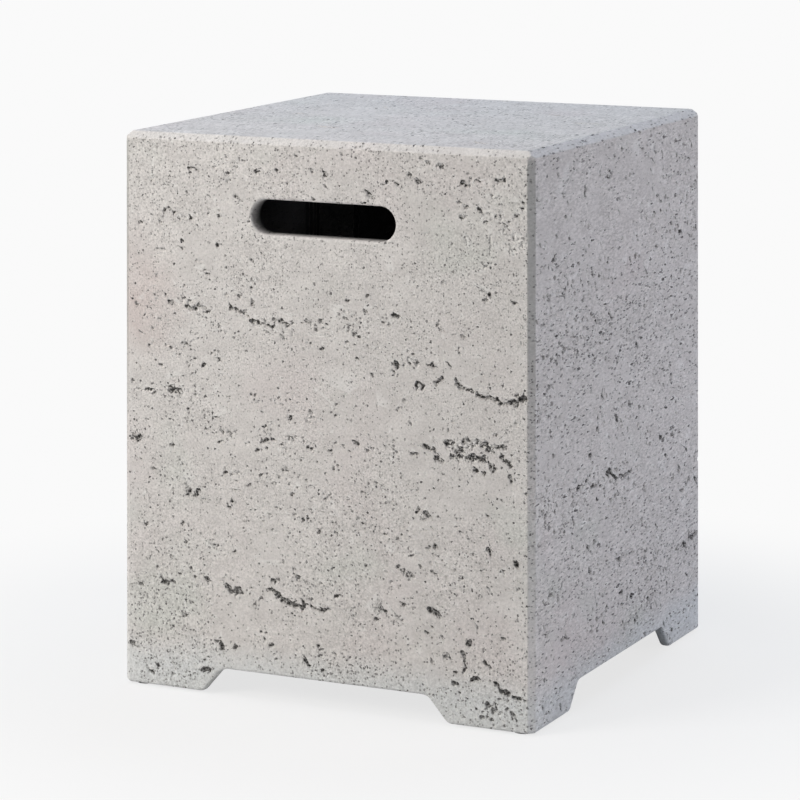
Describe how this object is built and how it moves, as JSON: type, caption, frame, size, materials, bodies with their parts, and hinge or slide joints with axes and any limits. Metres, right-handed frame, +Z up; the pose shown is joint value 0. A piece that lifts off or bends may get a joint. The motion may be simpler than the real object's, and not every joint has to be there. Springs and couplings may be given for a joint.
{
  "type": "propane tank cover table",
  "caption": "Square cast concrete side table, open underneath, that stands over a portable propane tank, with two hand slots and notched feet.",
  "frame": {"origin": "on the floor, under the middle of the table", "axes": "+Z up, -Y towards the front hand slot, +X to the right along the front face"},
  "size_m": [0.409, 0.409, 0.508],
  "materials": {
    "travertine_concrete": "honed, pitted like travertine",
    "foot_rubber": "matte"
  },
  "bodies": {
    "root": {"cover_shell": "travertine_concrete", "foot_pad_front_left": "foot_rubber", "foot_pad_front_right": "foot_rubber", "foot_pad_back_left": "foot_rubber", "foot_pad_back_right": "foot_rubber"}
  },
  "joints": []
}
